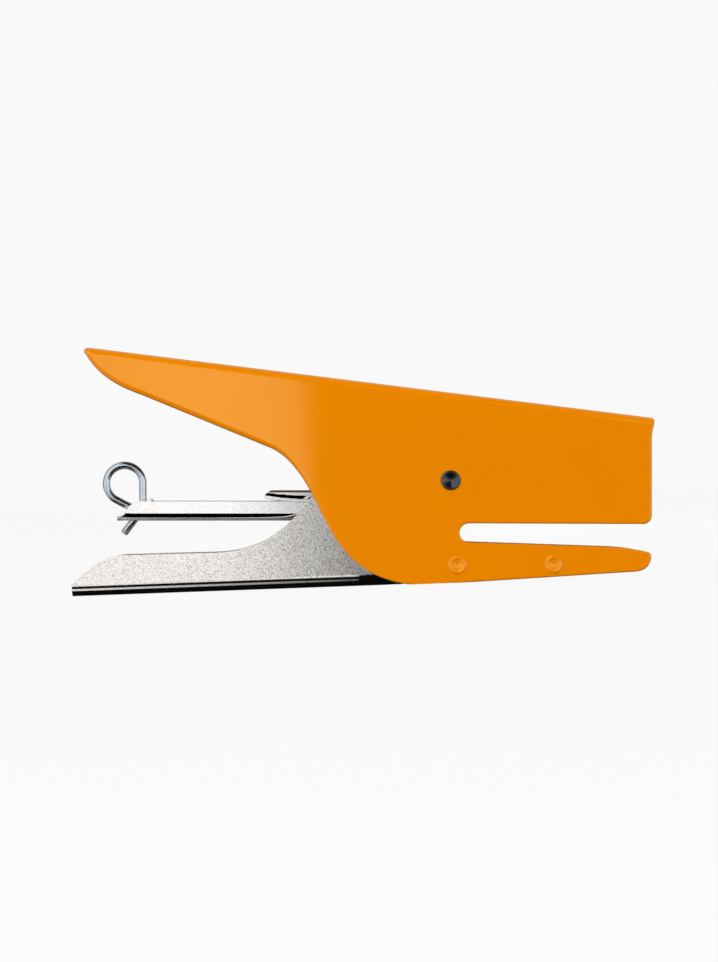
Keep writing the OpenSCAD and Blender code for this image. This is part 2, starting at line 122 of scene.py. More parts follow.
def link(name, data):
    """A new object in the scene, made from its mesh, lamp or camera data."""
    obj = bpy.data.objects.new(name, data)
    bpy.context.scene.collection.objects.link(obj)
    return obj


def to_object(name, bm):
    """A closed bmesh in the side view becomes an object in the row frame.

    A sheet's vertices carry their own normals in the layer "shade", and faces beside it stay flat.
    A bmesh without that layer is smooth all over.
    """
    bmesh.ops.recalc_face_normals(bm, faces=bm.faces)
    shade = bm.verts.layers.float_vector.get("shade")
    for face in bm.faces:
        face.smooth = shade is None or all(v[shade].length > 0 for v in face.verts)
    mesh = bpy.data.meshes.new(name)
    bm.to_mesh(mesh)
    bm.free()
    if shade:
        normals = mesh.attributes["shade"]
        mesh.normals_split_custom_set_from_vertices([v.vector for v in normals.data])
        mesh.attributes.remove(normals)
    mesh.transform(TO_ROW)
    return link(name, mesh)


def round_edges(obj, width):
    """Breaks every sharp edge, and lets the large faces set the shading beside them."""
    bevel = obj.modifiers.new("edges", "BEVEL")
    bevel.width = width * MM
    bevel.segments = 2
    bevel.limit_method = "ANGLE"
    bevel.angle_limit = math.radians(40)
    normals = obj.modifiers.new("normals", "WEIGHTED_NORMAL")
    normals.keep_sharp = False


# ---------- curves in the side view ----------

def curve(a, b, c, steps=16):
    """Points of a quadratic curve from a to c, pulled towards b."""
    a, b, c = Vector(a), Vector(b), Vector(c)
    ts = [i / steps for i in range(steps + 1)]
    return [(1 - t) ** 2 * a + 2 * t * (1 - t) * b + t * t * c for t in ts]


def arc(centre, r, start, end, steps=16):
    """Points of an arc, with its angles in degrees."""
    centre = Vector(centre)
    angles = [math.radians(start + (end - start) * i / steps) for i in range(steps + 1)]
    return [centre + r * Vector((math.cos(a), math.sin(a))) for a in angles]


def circle(centre, r, count):
    """The count corners of a circle."""
    return arc(centre, r, 0, 360 - 360 / count, count - 1)


def spaced(points, step):
    """The same open line, its long gaps cut to about step, and no point repeated."""
    line = [Vector(points[0])]
    for p in map(Vector, points[1:]):
        gap = (p - line[-1]).length
        if gap < 1e-4:
            continue
        start = line[-1]
        count = max(1, round(gap / step))
        line += [start.lerp(p, (i + 1) / count) for i in range(count)]
    return line


def top_z(x):
    """Height of the body's flat top."""
    return TOP_HEIGHT - x * math.tan(TOP_SLOPE)


def body_line():
    """The body's outline from the nose round the mouth, the jaw and the handle to the tail."""
    tip = (55.25, -21.2)
    corner_r = 2.4
    line = [(NOSE_X, top_z(NOSE_X)), (NOSE_X, LIP_PLATE_Z)]
    line += curve((NOSE_X, LIP_PLATE_Z), (FACE_X + 0.15, LIP_Z + 0.6), (FACE_X, LIP_Z - 1.8), 8)
    line += arc((FACE_X - corner_r, -9.7), corner_r, 0, -90, 16)
    line += arc(MOUTH_AT, MOUTH_R, 90, 270, 28)
    line += curve((43.8, -18.4), (48.4, -18.6), (52.1, -19.4), 8)
    line += curve((54, -19.7), (55.3, -19.9), tip, 8)
    line += curve(tip, (54.9, -24.9), (50.7, -25.2), 14)
    line += curve((-6.3, -28.85), (-7, -28.9), (-7.8, -28.9), 3)
    line += curve((-7.6, -28.9), (-25.3, -28.9), (-33.6, -12.8), 30)
    line += curve((-38, -4.2), (-43.4, 6.3), (-49.7, 8.9), 20)
    line += curve((-85.4, 23.6), (-96.7, 27.4), (TAIL_X, TAIL_Z), 22)
    return line + [(TAIL_X, top_z(TAIL_X))]


def lever_line():
    """The lever's outline from its rear tip over the handle and the arms to the web's front."""
    line = [LEVER_TIP]
    line += curve((LEVER_TIP[0], -29), (-96.5, -20.9), (-90, -20.6), 20)
    line += curve((-64, -19.9), (-50.3, -19.3), (-41.4, -8.4), 24)
    line += curve((-36.4, -2.3), (-30, 6.5), (-16, 9), 14)
    line += curve((0, 10.5), (12, 12.5), (30, 12.5), 8)
    line += arc((0, 0), LEVER_REACH, 13.4, -5.4, 10)
    line += curve((6, -8.2), (-2, -8.6), (-4, -13), 10)
    line += curve((-8.6, -24), (-10.4, -28.7), (-14, -28.8), 10)
    return line


def magazine_line():
    """The channel's outline from its rear tongue over the wall to the front of its bottom."""
    line = [(-92, MAG_BOTTOM)]
    line += curve((-92, -10.4), (-89.8, -10.1), (-89, -7.6), 8)
    line += curve((-89, -7.6), (-88, -6.3), (-85, -5.6), 8)
    line += [(-83.6, MAG_TOP), (-83.2, MAG_TOP + 0.6), (-82.7, MAG_TOP + 0.6), (-82.4, MAG_TOP)]
    line += [(51.1, MAG_TOP)]
    line += arc((0, 0), NOSE_R, -6, -10.6, 4)
    return line


# ---------- folded sheet ----------

class Fold:
    """A straight fold seen from the side, and how a flat sheet bends round it.

    The sheet's own coordinates are (a, p): a runs along the fold, and p across the sheet, from one
    free edge over the web and the two bends to the other. depth is how far a point lies from the
    web's outer face.
    """

    def __init__(self, origin, slope, side, half, radius, sheet):
        self.origin = Vector(origin)
        self.along = Vector((math.cos(slope), math.sin(slope)))
        self.down = side * Vector((-math.sin(slope), math.cos(slope)))
        self.half = half
        self.radius = radius
        self.sheet = sheet
        self.flat = half - radius
        self.bend = math.pi * radius / 2

    def across(self, point):
        """Sheet coordinates (a, q) of a side-view point, q measured from the bend's start."""
        offset = Vector(point) - self.origin
        a, depth = offset.dot(self.along), max(0.0, offset.dot(self.down))
        if depth < self.radius:
            return a, self.radius * math.acos(1 - depth / self.radius)
        return a, self.bend + depth - self.radius

    def place(self, point, skin):
        """Where the sheet's point (a, p) goes, at the depth skin below its outer face."""
        a, p = point
        q = abs(p) - self.flat
        r = self.radius
        if q <= 0:
            depth = skin
            y = abs(p)
        elif q < self.bend:
            t = q / r
            depth = r - (r - skin) * math.cos(t)
            y = self.half - r + (r - skin) * math.sin(t)
        else:
            depth = r + q - self.bend
            y = self.half - skin
        x, z = self.origin + a * self.along + depth * self.down
        return Vector((x, math.copysign(y, p), z))


def turned(loop, clockwise):
    """The closed loop, run round in the given direction."""
    area = sum(p.x * q.y - q.x * p.y for p, q in zip(loop, loop[1:] + loop[:1]))
    return loop if (area < 0) == clockwise else loop[::-1]


def inward(loop):
    """For each point of the closed loop, the way to its left that keeps the sides parallel."""
    flattest = 0.6  # keeps the move at a sharp corner short
    ways = []
    for before, point, after in zip(loop[-1:] + loop[:-1], loop, loop[1:] + loop[:1]):
        u, v = (point - before).normalized(), (after - point).normalized()
        mean = (u + v).normalized()
        ways.append(Vector((-mean.y, mean.x)) / max(flattest, u.dot(mean)))
    return ways


def inset(loop, ways, widths):
    """The closed loop, each point moved along its way by its own width."""
    return [p + way * width for p, way, width in zip(loop, ways, widths)]


def square_to(fold, point, depth):
    """The direction out of the sheet's outer face, square to its surface at that depth."""
    step_a, step_p = Vector((NUDGE, 0)), Vector((0, NUDGE))
    along = fold.place(point + step_a, depth) - fold.place(point - step_a, depth)
    over = fold.place(point + step_p, depth) - fold.place(point - step_p, depth)
    normal = along.cross(over).normalized()
    out = fold.place(point, 0) - fold.place(point, fold.sheet)
    return normal if normal.dot(out) > 0 else -normal


def inside(point, loop):
    """True if the point is in the closed loop."""
    x, y = point
    hit = False
    for (x0, y0), (x1, y1) in zip(loop, loop[1:] + loop[:1]):
        if (y0 > y) != (y1 > y) and x < x0 + (y - y0) * (x1 - x0) / (y1 - y0):
            hit = not hit
    return hit


def clear_of(point, loop, gap):
    """True if no corner of the loop is nearer than gap."""
    return all((p - point).length_squared > gap * gap for p in loop)


def flat_fill(loops, fold, grid):
    """Points inside the flat sheet: a plain grid, with close rows over the two bends."""
    outer = loops[0]
    deepest = max(p.y for p in outer)
    free = fold.flat + fold.bend
    on_web, on_bend = 3, 10
    on_wall = max(1, round((deepest - free) / grid))
    rows = [fold.flat * k / on_web for k in range(on_web)]
    rows += [fold.flat + fold.bend * k / on_bend for k in range(on_bend + 1)]
    rows += [free + (deepest - free) * (k + 1) / on_wall for k in range(on_wall)]
    low, high = min(p.x for p in outer), max(p.x for p in outer)
    columns = max(2, round((high - low) / grid))
    edge_gap = 1.1
    points = []
    for p in sorted({r * sign for r in rows for sign in (1, -1)}):
        for k in range(1, columns):
            point = Vector((low + (high - low) * k / columns, p))
            if inside(point, outer) and all(clear_of(point, loop, edge_gap) for loop in loops):
                if not any(inside(point, hole) for hole in loops[1:]):
                    points.append(point)
    return points


def add_skin(bm, fold, loops, fill, depth, flip):
    """One side of the sheet, at that depth, with the points of fill inside it.

    flip is 1 for the outer side and -1 for the inner one. Returns its vertices along each loop, and
    its faces.
    """
    points, edges = [], []
    for loop in loops:
        first = len(points)
        points += loop
        edges += [(first + i, first + (i + 1) % len(loop)) for i in range(len(loop))]
    flat, _, faces, sources, _, _ = delaunay_2d_cdt(points + fill, edges, [], 1, 1e-5)
    shade = bm.verts.layers.float_vector["shade"]
    verts = [bm.verts.new(fold.place(v, depth)) for v in flat]
    for vert, v in zip(verts, flat):
        vert[shade] = flip * square_to(fold, v, depth)
    made = []
    for face in faces:
        middle = sum((flat[i] for i in face), Vector((0, 0))) / len(face)
        if not any(inside(middle, hole) for hole in loops[1:]):
            made.append(bm.faces.new([verts[i] for i in face][::flip]))
    found = {source: i for i, many in enumerate(sources) for source in many}
    rims, first = [], 0
    for loop in loops:
        rims.append([verts[found[first + i]] for i in range(len(loop))])
        first += len(loop)
    return rims, made


def folded_sheet(line, fold, holes, rim, step=1.0, grid=2.5, notch=(), slots=()):
    """A sheet-metal piece: its outline cut flat, bent round the fold, with rounded outer edges.

    holes are (centre in the side view, radius), cut through both walls. notch has the corners of a
    cut in the web's front end, and slots the outlines of holes in the web, both on the flat sheet.
    step is the spacing along the outline, and grid the one inside it.
    """
    half = [fold.across(p) for p in spaced(line, step)]
    right = [Vector((a, fold.flat + q)) for a, q in half]
    left = [Vector((a, -fold.flat - q)) for a, q in reversed(half)]
    start = spaced([left[-1], right[0]], grid)[1:-1]
    end = spaced([right[-1], *notch, left[0]], grid)[1:-1]
    loops = [turned(right + end + left + start, False)]
    loops += [turned(slot, True) for slot in slots]
    for centre, r in holes:
        a, q = fold.across(centre)
        for sign in (1, -1):
            loops.append(turned(circle((a, sign * (fold.flat + q)), r, 24), True))
    bm = sheet_mesh()
    closed_sheet(bm, fold, loops, flat_fill(loops, fold, grid), rim)
    return bm


def sheet_mesh():
    """An empty bmesh with a layer for the normals of its sheets."""
    bm = bmesh.new()
    bm.verts.layers.float_vector.new("shade")
    return bm


def closed_sheet(bm, fold, loops, fill, rim):
    """Adds the solid sheet inside flat loops, the first of them its outline and the rest holes.

    rim(point) is the rounding of its outer edge. Faces on its inner side get the second material.
    """
    small = 0.12  # rounding of the inner edge
    steps = 4
    turns = [math.pi / 2 * k / steps for k in range(steps + 1)]
    ways = [inward(loop) for loop in loops]
    widths = [[rim(p) for p in loop] for loop in loops]
    smalls = [[small] * len(loop) for loop in loops]
    outer, _ = add_skin(bm, fold, list(map(inset, loops, ways, widths)), fill, 0.0, 1)
    inner, inside_faces = add_skin(bm, fold, list(map(inset, loops, ways, smalls)), fill,
                                   fold.sheet, -1)
    for face in inside_faces:
        face.material_index = 1
    shade = bm.verts.layers.float_vector["shade"]

    def add_ring(loop, way, moves, depths, lean):
        """One ring of the edge. lean is how far each normal turns from the face to the edge."""
        ring = []
        for p, w, move, depth, (to_face, to_edge) in zip(loop, way, moves, depths, lean):
            at = p + w * move
            vert = bm.verts.new(fold.place(at, depth))
            edge = fold.place(at - w.normalized() * NUDGE, depth) - vert.co
            normal = to_face * square_to(fold, at, depth) + to_edge * edge.normalized()
            vert[shade] = normal.normalized()
            ring.append(vert)
        return ring

    for k, (loop, way) in enumerate(zip(loops, ways)):
        deep = [min(w, fold.sheet - 2 * small) for w in widths[k]]
        rings = [outer[k]]
        for t in turns[1:]:
            sin, cos = math.sin(t), math.cos(t)
            rings.append(add_ring(loop, way, [w * (1 - sin) for w in widths[k]],
                                  [d * (1 - cos) for d in deep],
                                  [(w * cos, d * sin) for w, d in zip(widths[k], deep)]))
        for t in turns[:-1]:
            sin, cos = math.sin(t), math.cos(t)
            count = len(loop)
            rings.append(add_ring(loop, way, [small * (1 - cos)] * count,
                                  [fold.sheet - small * (1 - sin)] * count, [(-sin, cos)] * count))
        rings.append(inner[k])
        for low, high in zip(rings, rings[1:]):
            for i in range(len(loop)):
                j = (i + 1) % len(loop)
                bm.faces.new([low[j], low[i], high[i], high[j]])
    loose = [v for v in bm.verts if not v.link_faces]
    bmesh.ops.delete(bm, geom=loose, context="VERTS")


def even(width):
    """A rim of the same width all round."""
    return lambda point: width


class Rail:
    """A wall of the saddle at one side: pressed in along its hem, with a flange bent in on top.

    The flat sheet's own coordinates are (x, p), where p is the height z up to the bend.
    """

    def __init__(self, side):
        self.side = side
        self.sheet = SADDLE_SHEET
        self.start = RAIL_Z - RAIL_BEND
        self.bend = math.pi * RAIL_BEND / 2

    def place(self, point, skin):
        """Where the sheet's point goes, at the depth skin below its outer face."""
        x, p = point
        q = p - self.start
        if x > RAIL_FRONT or q <= 0:
            low, high = HEM_PRESS
            share = min(1.0, max(0.0, (high - (p - hem_z(x))) / (high - low)))
            press = share * HEM_DEPTH * (1 - skin / self.sheet) if x < RAIL_FRONT else 0.0
            y, z = SADDLE_HALF - press - skin, p
        elif q < self.bend:
            t = q / RAIL_BEND
            y = SADDLE_HALF - RAIL_BEND + (RAIL_BEND - skin) * math.cos(t)
            z = self.start + (RAIL_BEND - skin) * math.sin(t)
        else:
            y = SADDLE_HALF - RAIL_BEND - (q - self.bend)
            z = RAIL_Z - skin
        return Vector((x, self.side * y, z))


def hem_z(x):
    """Height of a rail's lower edge, which rises towards its rear end."""
    rise_from, rise_run = -39, 12.2
    t = max(0.0, (rise_from - x) / rise_run)
    return HEM_Z + t * t


def saddle_line(rail):
    """The flat outline of one wall: hem, rear end, flange, pivot ear and front cover."""
    flange = rail.start + rail.bend + SADDLE_HALF - RAIL_BEND - FLANGE_IN
    notch = RAIL_FRONT - 0.6
    line = [(x, hem_z(x)) for x in (-4.5, -12, -20, -30, -39, -42, -45, -47, -49, -50.3)]
    line += curve((-51.1, hem_z(-51.1)), (-51.5, -4.3), (-50.8, -3.7), 6)
    line += curve((-50.8, -3.7), (-50.2, -3.1), (-49.2, rail.start + rail.bend), 6)
    line += [(-48.6, flange), (notch, flange), (notch, rail.start), (RAIL_FRONT + 0.2, rail.start)]
    line += curve((-6.2, -1.6), (-5.6, 0), (-4.9, 1.8), 4)
    line += arc((0, 0), 5.2, 150, 20, 16)
    line += curve((5.6, -1), (7, -3.8), (14, COVER_Z), 6)
    line += [(COVER_END, COVER_Z), (COVER_END, -8)]
    return line + curve((10, -8), (6, -8), (4, hem_z(4)), 5)


# ---------- solids of revolution and wires ----------

def lathe(bm, profile, centre, sign, turns=64):
    """Turns (radius, height) points about a line along Y at centre. Heights run to the sign side."""
    cx, y0, cz = centre
    rings = []
    for r, h in profile:
        if r < 1e-6:
            rings.append([bm.verts.new((cx, y0 + sign * h, cz))])
            continue
        ring = []
        for k in range(turns):
            a = 2 * math.pi * k / turns
            ring.append(bm.verts.new((cx + r * math.cos(a), y0 + sign * h, cz + r * math.sin(a))))
        rings.append(ring)
    for low, high in zip(rings, rings[1:]):
        for k in range(turns):
            m = (k + 1) % turns
            if len(low) == 1:
                bm.faces.new([low[0], high[k], high[m]])
            elif len(high) == 1:
                bm.faces.new([low[k], low[m], high[0]])
            else:
                bm.faces.new([low[k], low[m], high[m], high[k]])


def wire(path, radius, ref, sides=16, chamfer=0.25):
    """A round wire along path, with broken edges at its two ends. ref fixes how its rings lie."""
    path = [Vector(p) for p in path]
    ref = Vector(ref)
    bm = bmesh.new()
    last = len(path) - 1
    rings = []

    def add_ring(centre, direction, r):
        u = direction.cross(ref).normalized()
        v = u.cross(direction).normalized()
        spin = [2 * math.pi * k / sides for k in range(sides)]
        rings.append([bm.verts.new(centre + r * (math.cos(a) * u + math.sin(a) * v)) for a in spin])

    cut = chamfer * radius
    for i, p in enumerate(path):
        direction = (path[min(i + 1, last)] - path[max(i - 1, 0)]).normalized()
        if i == 0:
            add_ring(p, direction, radius - cut)
            p = p + direction * cut
        if i == last:
            add_ring(p - direction * cut, direction, radius)
            add_ring(p, direction, radius - cut)
        else:
            add_ring(p, direction, radius)
    for low, high in zip(rings, rings[1:]):
        for k in range(sides):
            m = (k + 1) % sides
            bm.faces.new([low[k], low[m], high[m], high[k]])
    bm.faces.new(rings[0][::-1])
    bm.faces.new(rings[-1])
    return bm


def block(bm, low, high):
    """A box between two corners."""
    low, high = Vector(low), Vector(high)
    for v in bmesh.ops.create_cube(bm, size=1.0)["verts"]:
        v.co = (low + high) / 2 + v.co * (high - low)


# ---------- materials ----------

def new_material(name):
    """A new node material: (material, nodes, links, its Principled shader)."""
    material = bpy.data.materials.new(name)
    material.use_nodes = True
    nodes, links = material.node_tree.nodes, material.node_tree.links
    return material, nodes, links, nodes["Principled BSDF"]


def noise(nodes, links, scale, detail, rough=0.5):
    """The value of a noise in object space, where scale is waves per metre."""
    where = nodes.new("ShaderNodeTexCoord")
    texture = nodes.new("ShaderNodeTexNoise")
    texture.inputs["Scale"].default_value = scale
    texture.inputs["Detail"].default_value = detail
    texture.inputs["Roughness"].default_value = rough
    links.new(where.outputs["Object"], texture.inputs["Vector"])
    return texture.outputs["Fac"]


def ramp(nodes, links, source, stops, target):
    """A colour ramp with (position, colour) stops, fed by source, into the target socket."""
    node = nodes.new("ShaderNodeValToRGB")
    elements = node.color_ramp.elements
    while len(elements) < len(stops):
        elements.new(0.5)
    for element, (position, colour) in zip(elements, stops):
        element.position = position
        element.color = (*colour, 1)
    links.new(source, node.inputs["Fac"])
    links.new(node.outputs["Color"], target)


def grey_ramp(nodes, links, source, low, high, target):
    """A value that goes from low to high where source goes from 0.3 to 0.7."""
    ramp(nodes, links, source, [(0.3, (low, low, low)), (0.7, (high, high, high))], target)


def bump(nodes, links, height, distance, strength, below=None):
    """The normal of a surface with relief distance mm high, laid over the normal below."""
    node = nodes.new("ShaderNodeBump")
    node.inputs["Distance"].default_value = distance * MM
    node.inputs["Strength"].default_value = strength
    links.new(height, node.inputs["Height"])
    if below:
        links.new(below, node.inputs["Normal"])
    return node.outputs["Normal"]


def orange_paint():
    """Glossy stove enamel with a slight drift of colour, orange peel and long shallow waves."""
    material, nodes, links, shader = new_material("orange_paint")
    drift = noise(nodes, links, 40, 2)
    ramp(nodes, links, drift, [(0.3, (0.785, 0.225, 0.0)), (0.7, (0.80, 0.232, 0.0))],
         shader.inputs["Base Color"])
    peel = bump(nodes, links, noise(nodes, links, 420, 1.5), 0.02, 0.03)
    waves = bump(nodes, links, noise(nodes, links, 60, 1.0), 0.06, 0.06, peel)
    links.new(waves, shader.inputs["Coat Normal"])
    links.new(waves, shader.inputs["Normal"])
    blur = noise(nodes, links, 150, 3)
    grey_ramp(nodes, links, blur, 0.04, 0.06, shader.inputs["Roughness"])
    shader.inputs["Specular IOR Level"].default_value = 0.8
    shader.inputs["Specular Tint"].default_value = (1.0, 1.0, 0.0, 1)
    shader.inputs["Coat Weight"].default_value = 0.85
    shader.inputs["Coat Roughness"].default_value = 0.03
    return material


def nickel(name, dark, low, high, rough_low, rough_high, grain):
    """Nickel plating over a pitted sheet: a speckled colour, cloudy gloss and tiny pits."""
    material, nodes, links, shader = new_material(name)
    shader.inputs["Metallic"].default_value = 1.0
    speck = noise(nodes, links, 2600, 3, 0.75)
    ramp(nodes, links, speck, [(0.36, dark), (0.47, low), (0.58, high)], shader.inputs["Base Color"])
    cloud = noise(nodes, links, 90, 4)
    grey_ramp(nodes, links, cloud, rough_low, rough_high, shader.inputs["Roughness"])
    links.new(bump(nodes, links, speck, 0.02, grain), shader.inputs["Normal"])
    return material


def metal(name, dark, light, rough_low, rough_high, scale=700, detail=4, marks=0.2, metallic=1.0):
    """Bare, blackened or zinc-plated steel: a cloudy colour and gloss, and fine marks."""
    material, nodes, links, shader = new_material(name)
    shader.inputs["Metallic"].default_value = metallic
    cloud = noise(nodes, links, scale, detail)
    ramp(nodes, links, cloud, [(0.3, dark), (0.7, light)], shader.inputs["Base Color"])
    grey_ramp(nodes, links, cloud, rough_low, rough_high, shader.inputs["Roughness"])
    links.new(bump(nodes, links, cloud, 0.01, marks), shader.inputs["Normal"])
    return material


def turned_steel():
    """Blackened steel with the fine rings of a lathe, so that its gloss spreads across them."""
    material = metal("black_oxide", (0.09, 0.105, 0.12), (0.13, 0.15, 0.17), 0.3, 0.34)
    nodes = material.node_tree.nodes
    rings = nodes.new("ShaderNodeTangent")
    rings.direction_type = "RADIAL"
    rings.axis = "Y"
    shader = nodes["Principled BSDF"]
    shader.inputs["Anisotropic"].default_value = 0.9
    shader.inputs["Anisotropic Rotation"].default_value = 0.25
    material.node_tree.links.new(rings.outputs[0], shader.inputs["Tangent"])
    return material


MATERIALS = {
    "orange_paint": orange_paint(),
    "nickel_plate": nickel("nickel_plate", (0.46, 0.44, 0.42), (0.90, 0.87, 0.84),
                           (0.99, 0.96, 0.94), 0.09, 0.12, 0.2),
    # A darkened, rougher copy of the plating for the lever's inner side: painted shade, not a colour
    # of its own
    "nickel_painted_shade": nickel("nickel_painted_shade", (0.14, 0.135, 0.13), (0.26, 0.25, 0.24),
                           (0.34, 0.33, 0.32), 0.22, 0.32, 0.2),
    "bright_nickel": nickel("bright_nickel", (0.80, 0.78, 0.76), (0.95, 0.93, 0.91),
                            (0.99, 0.98, 0.97), 0.07, 0.10, 0.04),
    "zinc_wire": metal("zinc_wire", (0.56, 0.63, 0.69), (0.70, 0.77, 0.83), 0.14, 0.19,
                       scale=500, detail=3, marks=0.03),
    "black_oxide": turned_steel(),
    # Near-black brown for the body's inner side: painted shade where the inside lies in shadow
    "painted_shade_inside": metal("painted_shade_inside", (0.03, 0.011, 0.002), (0.05, 0.017, 0.003), 0.5, 0.6,
                         scale=200, metallic=0),
    "plain_steel": metal("plain_steel", (0.30, 0.30, 0.31), (0.46, 0.46, 0.47), 0.28, 0.45),
    "spring_steel": metal("spring_steel", (0.05, 0.05, 0.055), (0.12, 0.12, 0.125), 0.25, 0.4),
}


def dress(obj, slot, *looks):
    """Gives a new piece the material of its record slot, unless other looks are named.

    Of two looks, the first is for a sheet's outer side and its edges, the second for its inner side.
    """
    obj.data.materials.clear()
    for look in looks or (slot,):
        obj.data.materials.append(MATERIALS[look])
    return obj


# ---------- pieces ----------

def body_rim(point):
    """The body's edge is wide and round at the handle, and crisp at the mouth."""
    crisp, wide = 0.5, 1.6
    share = min(1.0, max(0.0, (-30 - point.x) / 20))
    return crisp + (wide - crisp) * share


def body_shell():
    """The orange body, with a plate across its nose and its tail."""
    fold = Fold((0, TOP_HEIGHT), -TOP_SLOPE, -1, BODY_HALF, BODY_FOLD, BODY_SHEET)
    holes = [((0, 0), PIN_R)] + [(at, 1.5) for at in JAW_RIVETS]
    bm = folded_sheet(body_line(), fold, holes, body_rim)
    inner = BODY_HALF - BODY_SHEET / 2
    plate, gap = 0.9, 0.05
    for x, low in ((NOSE_X - gap - plate, LIP_PLATE_Z), (TAIL_X + gap, TAIL_Z - 0.1)):
        block(bm, (x, -inner, low), (x + plate, inner, top_z(x + plate) - BODY_SHEET / 2))
    obj = to_object("body_skin", bm)
    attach(obj, "body")
    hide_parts("body_shell")
    # Its inner side is coloured near black, painted shade
    return dress(obj, "orange_paint", "orange_paint", "painted_shade_inside")


def squeeze_lever():
    """The lower handle and its two arms. Returns the object."""
    fold = Fold(LEVER_TIP, LEVER_SLOPE, 1, LEVER_HALF, LEVER_FOLD, LEVER_SHEET)
    bm = folded_sheet(lever_line(), fold, [((0, 0), PIN_R + 0.05)], even(0.12))
    obj = to_object("lever_skin", bm)
    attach(obj, "lever")
    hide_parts("squeeze_lever")
    # Its inner side gets the darkened copy of the plating, painted shade
    return dress(obj, "nickel_plate", "nickel_plate", "nickel_painted_shade")


def magazine_channel():
    """The trough for the staples: open in front for the blade, and slotted for the rod's tail."""
    fold = Fold((0, MAG_BOTTOM), 0.0, 1, MAG_HALF, MAG_FOLD, MAG_SHEET)
    blade_cut = 1.27
    front, q = fold.across((WEB_END, MAG_BOTTOM + blade_cut))
    notch = [Vector((front, sign * (fold.flat + q))) for sign in (1, -1)]
    slot = arc((SLOT_TO, 0), SLOT_R, -90, 90, 10) + arc((SLOT_FROM, 0), SLOT_R, 90, 270, 10)
    bm = folded_sheet(magazine_line(), fold, (), even(0.15), step=0.8, grid=2.0,
                      notch=notch, slots=[slot])
    obj = to_object("magazine_skin", bm)
    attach(obj, "magazine")
    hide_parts("magazine_channel")
    return dress(obj, "nickel_plate", "bright_nickel", "nickel_plate")


def magazine_saddle():
    """The saddle: two walls with pressed hems, flanges and pivot ears, and a cover in front."""
    holes = [circle((0, 0), PIN_R + 0.05, 24)]
    holes += [circle(at, 0.9, 16) for at in SADDLE_RIVETS]
    bm = sheet_mesh()
    block(bm, (COVER_START, -MAG_HALF, COVER_Z - SADDLE_SHEET), (COVER_END, MAG_HALF, COVER_Z))
    for side in (1, -1):
        rail = Rail(side)
        outline = turned(spaced(saddle_line(rail), 0.6), False)
        columns = [-50.6 + 1.1 * i for i in range(38)]
        rows = [rail.start - 2.6 + 0.16 * k for k in range(34)]
        fill = [Vector((x, p)) for x in columns for p in rows]
        fill = [p for p in fill if inside(p, outline) and clear_of(p, outline, 0.2)]
        loops = [outline] + [turned(hole, True) for hole in holes]
        closed_sheet(bm, rail, loops, fill, even(0.12))
    obj = to_object("saddle_skin", bm)
    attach(obj, "magazine")
    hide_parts("magazine_saddle")
    return dress(obj, "nickel_plate", "bright_nickel", "bright_nickel")


def loading_rod():
    """One wire: the straight rod, a corner up into the ring, the hook, and the tail."""
    sweep, hook_r, hook_sweep, hook_run, tail_run = 242.5, 2.0, 100, 5.1, 5.1
    corner_r, front_x = 2.5, 46
    leg_x = RING_AT.x + RING_R
    out = math.radians(sweep)
    exit_dir = Vector((-math.sin(out), math.cos(out)))
    exit_at = RING_AT + RING_R * Vector((math.cos(out), math.sin(out)))
    hook_at = exit_at + hook_run * exit_dir + hook_r * Vector((exit_dir.y, -exit_dir.x))
    hook_start = sweep - 180
    hook_end = math.radians(hook_start - hook_sweep)
    tail_from = hook_at + hook_r * Vector((math.cos(hook_end), math.sin(hook_end)))
    tail_dir = Vector((math.sin(hook_end), -math.cos(hook_end)))
    path = [Vector((front_x, ROD_Z))]
    path += arc((leg_x + corner_r, ROD_Z + corner_r), corner_r, 270, 180, 12)
    path += arc(RING_AT, RING_R, 0, sweep, 64)
    path += arc(hook_at, hook_r, hook_start, math.degrees(hook_end), 20)
    path += [tail_from + tail_run * tail_dir]
    bm = wire([(p.x, 0, p.y) for p in path], ROD_R, (0, 1, 0), 28)
    obj = to_object("rod_wire", bm)
    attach(obj, "rod")
    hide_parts("loading_rod")
    return dress(obj, "zinc_wire")


def pivot_pin():
    """Pin with a turned cone in each head, cut in fine steps by the lathe's tool."""
    bm = bmesh.new()
    head, r = 0.6, 2.7
    cone_r, end_r, cone_h, grooves, groove_h = 2.05, 0.25, 1.2, 9, 0.035
    for sign in (1, -1):
        profile = [(PIN_R, -BODY_HALF), (PIN_R, 0), (r - 0.1, 0), (r, 0.12), (r, head - 0.22),
                   (r - 0.08, head - 0.06), (r - 0.24, head), (r - 0.3, head), (2.15, head)]
        for k in range(grooves):
            for part, cut in ((0, 0), (0.55, groove_h)):
                t = (k + part) / grooves
                profile.append((cone_r + (end_r - cone_r) * t, head - cone_h * t - cut))
        profile += [(end_r, head - cone_h), (0, head - cone_h + 0.05)]
        lathe(bm, profile, (0, sign * BODY_HALF, 0), sign, 96)
    bmesh.ops.remove_doubles(bm, verts=bm.verts, dist=1e-4)
    obj = to_object("pin_turned", bm)
    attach(obj, "body")
    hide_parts("pivot_pin")
    return dress(obj, "black_oxide")


def jaw_rivets():
    """Painted tube rivets: a raised ring that runs softly into the cheek, with a dimple."""
    bm = bmesh.new()
    for x, z in JAW_RIVETS:
        for sign in (1, -1):
            profile = [(1.5, -BODY_HALF), (1.5, -0.4), (2.6, -0.1), (2.56, 0), (2.5, 0.03),
                       (2.36, 0.16), (2.26, 0.21), (2.12, 0.23), (1.9, 0.23), (1.78, 0.21),
                       (1.68, 0.17), (1.5, 0.08), (1.4, 0.05), (1.25, 0.04), (0.95, 0.04),
                       (0.75, 0.03), (0.45, -0.05), (0.25, -0.09), (0, -0.1)]
            lathe(bm, profile, (x, sign * BODY_HALF, z), sign)
    bmesh.ops.remove_doubles(bm, verts=bm.verts, dist=1e-4)
    obj = to_object("rivets_painted", bm)
    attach(obj, "body")
    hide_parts("jaw_rivets")
    return dress(obj, "orange_paint")


